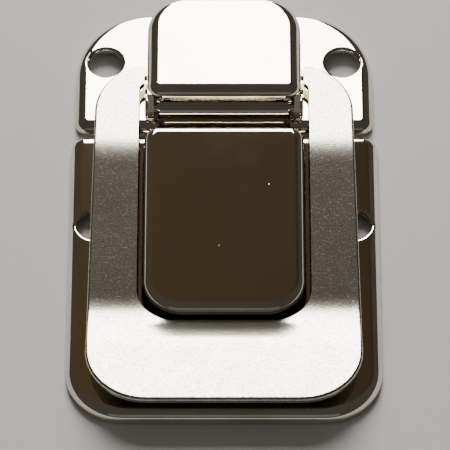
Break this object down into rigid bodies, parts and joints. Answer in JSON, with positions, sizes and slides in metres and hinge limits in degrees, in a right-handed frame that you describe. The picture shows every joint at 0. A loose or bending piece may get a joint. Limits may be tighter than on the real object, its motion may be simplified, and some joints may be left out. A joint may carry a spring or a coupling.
{
  "type": "toggle draw latch",
  "caption": "Plated sheet-metal toggle draw latch: a hinged lever pulls a window-shaped frame over a raised catch block to hold a case lid shut.",
  "frame": {"origin": "centre of the closed latch's footprint, on the plane the plate rims rest on", "axes": "+X across the latch, +Y along it from the keeper plate toward the lever's free end, +Z away from the case"},
  "size_m": [0.042, 0.0672, 0.0082],
  "materials": {
    "polished_nickel": "polished nickel plate on pressed steel, fine handling scratches",
    "satin_nickel": "satin nickel plate on steel sheet, fine even grain"
  },
  "bodies": {
    "keeper": {"keeper_plate": "polished_nickel", "keeper_block": "polished_nickel"},
    "hinge": {"hinge_plate": "polished_nickel", "hinge_pin": "polished_nickel"},
    "lever": {"lever": "polished_nickel"},
    "frame": {"bail_frame": "satin_nickel"}
  },
  "joints": [
    {"name": "lid_lift", "type": "slide", "parent": "keeper", "child": "hinge", "axis": [0, 0, 1], "range_m": [0, 0.015]},
    {"name": "lever_hinge", "type": "hinge", "parent": "hinge", "child": "lever", "pos_m": [0, 0.01525, 0.0041], "axis": [1, 0, 0], "range_deg": [0, 90]},
    {"name": "frame_swing", "type": "hinge", "parent": "lever", "child": "frame", "pos_m": [0, 0.02125, 0.00345], "axis": [1, 0, 0], "range_deg": [-121.5, 0]}
  ],
  "couplings": [
    {"joint": "frame_swing", "follows": "lever_hinge", "ratio": -1.35}
  ]
}
